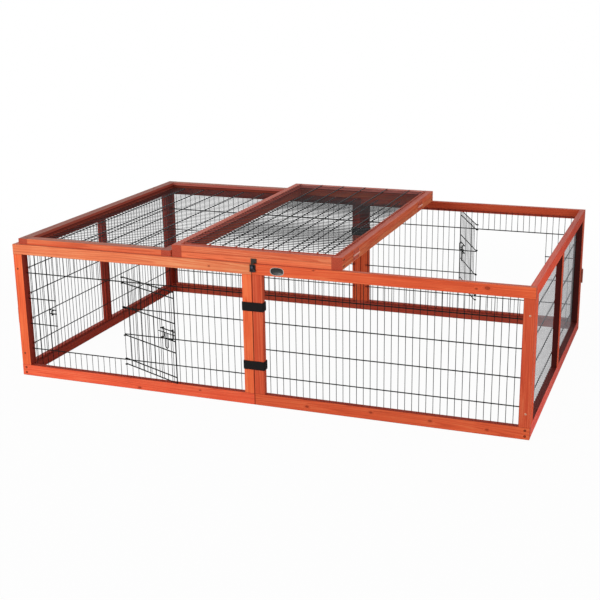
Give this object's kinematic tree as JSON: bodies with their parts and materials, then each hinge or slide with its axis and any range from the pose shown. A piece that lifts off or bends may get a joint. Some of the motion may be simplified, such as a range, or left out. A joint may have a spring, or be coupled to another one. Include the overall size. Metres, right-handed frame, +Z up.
{
  "type": "outdoor rabbit run",
  "caption": "Low rectangular timber run with welded wire mesh walls, hinged mesh lids folded back over one third and side-hung wire doors with sliding bolts.",
  "frame": {"origin": "on the ground, under the middle of the front face", "axes": "+X to the right along the front, +Y from the front to the back, +Z up"},
  "size_m": [1.8146, 1.4819, 0.5254],
  "materials": {
    "wall_timber": "orange-red stained softwood, matte",
    "lid_timber": "red-brown stained softwood, weathered matte",
    "mesh_wire": "black-green coated wire",
    "hinge_steel": "brown painted steel",
    "webbing": "black woven webbing",
    "latch_steel": "black painted steel"
  },
  "bodies": {
    "run_frame": {"front_left_top_rail": "wall_timber", "front_left_bottom_rail": "wall_timber", "front_left_stiles": "wall_timber", "front_left_mesh": "mesh_wire", "front_right_top_rail": "wall_timber", "front_right_bottom_rail": "wall_timber", "front_right_stiles": "wall_timber", "front_right_mesh": "mesh_wire", "back_left_top_rail": "wall_timber", "back_left_bottom_rail": "wall_timber", "back_left_stiles": "wall_timber", "back_left_mesh": "mesh_wire", "back_right_top_rail": "wall_timber", "back_right_bottom_rail": "wall_timber", "back_right_stiles": "wall_timber", "back_right_mesh": "mesh_wire", "left_end_top_rail": "wall_timber", "left_end_bottom_rail": "wall_timber", "left_end_stiles": "wall_timber", "left_end_mesh": "mesh_wire", "right_end_top_rail": "wall_timber", "right_end_bottom_rail": "wall_timber", "right_end_stiles": "wall_timber", "right_end_mesh": "mesh_wire", "left_lid_side_rails": "lid_timber", "left_lid_cross_rails": "lid_timber", "left_lid_mesh": "mesh_wire", "left_lid_hinge_leaves": "hinge_steel", "left_joint_hinge_pins": "hinge_steel", "front_straps": "webbing", "back_straps": "webbing", "lid_latch_base": "latch_steel", "corner_hinge_leaves": "hinge_steel", "corner_hinge_pins": "hinge_steel"},
    "middle_lid": {"middle_lid_side_rails": "lid_timber", "middle_lid_cross_rails": "lid_timber", "middle_lid_mesh": "mesh_wire", "middle_lid_left_hinge_leaves": "hinge_steel", "middle_lid_right_hinge_leaves": "hinge_steel", "right_joint_hinge_pins": "hinge_steel", "lid_latch_strike": "latch_steel"},
    "right_lid": {"right_lid_side_rails": "lid_timber", "right_lid_cross_rails": "lid_timber", "right_lid_mesh": "mesh_wire", "right_lid_hinge_leaves": "hinge_steel"},
    "front_door": {"front_door": "mesh_wire"},
    "front_door_bolt": {"front_door_bolt": "mesh_wire"},
    "back_door": {"back_door": "mesh_wire"},
    "back_door_bolt": {"back_door_bolt": "mesh_wire"},
    "lid_latch_hook": {"lid_latch_hook": "latch_steel"}
  },
  "joints": [
    {"name": "middle_lid_hinge", "type": "hinge", "parent": "run_frame", "child": "middle_lid", "pos_m": [-0.2895, 0.58, 0.5003], "axis": [0, -1, 0], "range_deg": [0, 90]},
    {"name": "right_lid_hinge", "type": "hinge", "parent": "middle_lid", "child": "right_lid", "pos_m": [0.3035, 0.58, 0.50045], "axis": [0, 1, 0], "range_deg": [0, 180]},
    {"name": "front_door_hinge", "type": "hinge", "parent": "run_frame", "child": "front_door", "pos_m": [-0.48725, 0.0209, 0.2355], "axis": [0, 0, 1], "range_deg": [-155, 5]},
    {"name": "front_bolt_slide", "type": "slide", "parent": "front_door", "child": "front_door_bolt", "axis": [0.9063, -0.4226, 0], "range_m": [0, 0.02]},
    {"name": "back_door_hinge", "type": "hinge", "parent": "run_frame", "child": "back_door", "pos_m": [0.48725, 1.1391, 0.2421], "axis": [0, 0, 1], "range_deg": [-115, 45]},
    {"name": "back_bolt_slide", "type": "slide", "parent": "back_door", "child": "back_door_bolt", "axis": [-0.4226, 0.9063, 0], "range_m": [0, 0.02]},
    {"name": "latch_hook_turn", "type": "hinge", "parent": "run_frame", "child": "lid_latch_hook", "pos_m": [0.004, -0.0035, 0.471], "axis": [0, 1, 0], "range_deg": [-25, 165]}
  ]
}
